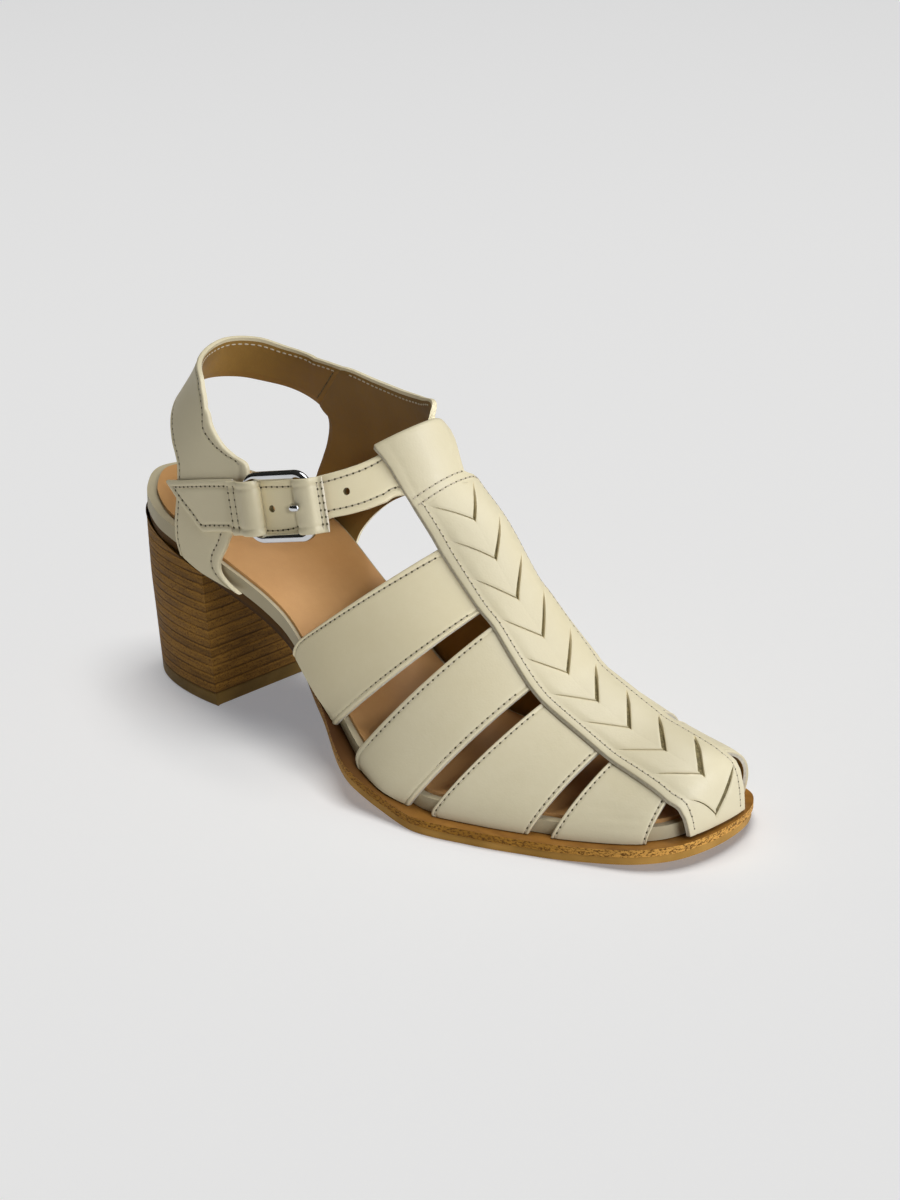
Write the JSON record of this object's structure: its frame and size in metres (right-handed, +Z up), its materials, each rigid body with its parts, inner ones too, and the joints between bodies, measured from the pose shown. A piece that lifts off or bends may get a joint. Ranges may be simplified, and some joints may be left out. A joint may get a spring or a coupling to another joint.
{
  "type": "heeled fisherman sandal",
  "caption": "Right-foot leather fisherman sandal with a woven centre strip, side straps, buckled ankle strap and stacked block heel.",
  "frame": {"origin": "on the floor under the middle of the shoe's bounding box", "axes": "+X to the toe, +Y to the inner (big-toe) side, +Z up"},
  "size_m": [0.2358, 0.0868, 0.1159],
  "materials": {
    "ivory_leather": "smooth, fine grain, semi-matt",
    "tan_leather": "smooth, semi-matt",
    "sole_leather": "cut and burnished edge",
    "stacked_leather": "stacked layers, waxed",
    "gum_rubber": "matt",
    "polished_metal": "polished"
  },
  "bodies": {
    "root": {"upper": "ivory_leather", "insole": "ivory_leather", "sock": "tan_leather", "midsole": "sole_leather", "outsole": "gum_rubber", "heel": "stacked_leather", "heel_lift": "gum_rubber", "strap_anchor": "ivory_leather", "buckle_frame": "polished_metal", "buckle_prong": "polished_metal", "buckle_wrap_rear": "ivory_leather", "buckle_wrap_front": "ivory_leather"}
  },
  "joints": []
}
